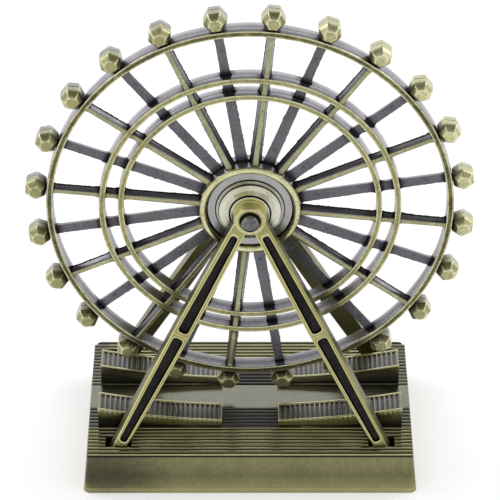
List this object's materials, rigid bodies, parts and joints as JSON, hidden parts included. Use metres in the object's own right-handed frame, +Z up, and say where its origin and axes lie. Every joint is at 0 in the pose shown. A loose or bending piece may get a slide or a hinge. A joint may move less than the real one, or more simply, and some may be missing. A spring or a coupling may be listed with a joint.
{
  "type": "ferris wheel toy",
  "caption": "Desk model of a ferris wheel in antique bronze: a spoked wheel with hexagonal pods spins on a fixed axle between two leaning A-frames on a ribbed base.",
  "frame": {"origin": "on the surface that the base stands on, straight below the axle", "axes": "+X to the right along the deck, +Y to the rear along the axle, +Z up"},
  "size_m": [0.1106, 0.0504, 0.1263],
  "materials": {
    "base_bronze": "antique bronze plating on a casting, olive brown, near black in the grooves",
    "ramp_bronze": "antique bronze plating, polished on the slats and dark between them",
    "frame_bronze": "antique bronze plating, polished on the lands and black in the pockets",
    "wheel_bronze": "antique bronze plating, rubbed bright on the crests of the spokes and rings",
    "wheel_grey": "smoked plating, satin dark grey",
    "pod_bronze": "polished antique bronze facets",
    "hub_silver": "polished bright plating",
    "axle_steel": "smooth turned steel with a domed end",
    "screw_steel": "plain screw steel"
  },
  "bodies": {
    "stand": {"base_casting": "base_bronze", "ramp_front_left": "ramp_bronze", "ramp_front_right": "ramp_bronze", "ramp_rear_left": "ramp_bronze", "ramp_rear_right": "ramp_bronze", "foot_screw_front_left": "screw_steel", "foot_screw_front_right": "screw_steel", "foot_screw_rear_left": "screw_steel", "foot_screw_rear_right": "screw_steel", "front_frame": "frame_bronze", "rear_frame": "frame_bronze", "axle": "axle_steel", "front_washer": "hub_silver", "rear_washer": "hub_silver"},
    "wheel": {"wheel_front_half": "wheel_bronze", "wheel_rear_half": "wheel_grey", "front_hub_bush": "hub_silver", "rear_hub_bush": "hub_silver", "pod_01": "pod_bronze", "pod_02": "pod_bronze", "pod_03": "pod_bronze", "pod_04": "pod_bronze", "pod_05": "pod_bronze", "pod_06": "pod_bronze", "pod_07": "pod_bronze", "pod_08": "pod_bronze", "pod_09": "pod_bronze", "pod_10": "pod_bronze", "pod_11": "pod_bronze", "pod_12": "pod_bronze", "pod_13": "pod_bronze", "pod_14": "pod_bronze", "pod_15": "pod_bronze", "pod_16": "pod_bronze", "pod_17": "pod_bronze", "pod_18": "pod_bronze", "pod_19": "pod_bronze", "pod_20": "pod_bronze", "pod_21": "pod_bronze", "pod_22": "pod_bronze", "pod_23": "pod_bronze", "pod_24": "pod_bronze"}
  },
  "joints": [
    {"name": "wheel_spin", "type": "hinge", "parent": "stand", "child": "wheel", "pos_m": [0, 0, 0.07102], "axis": [0, 1, 0], "continuous": true}
  ]
}
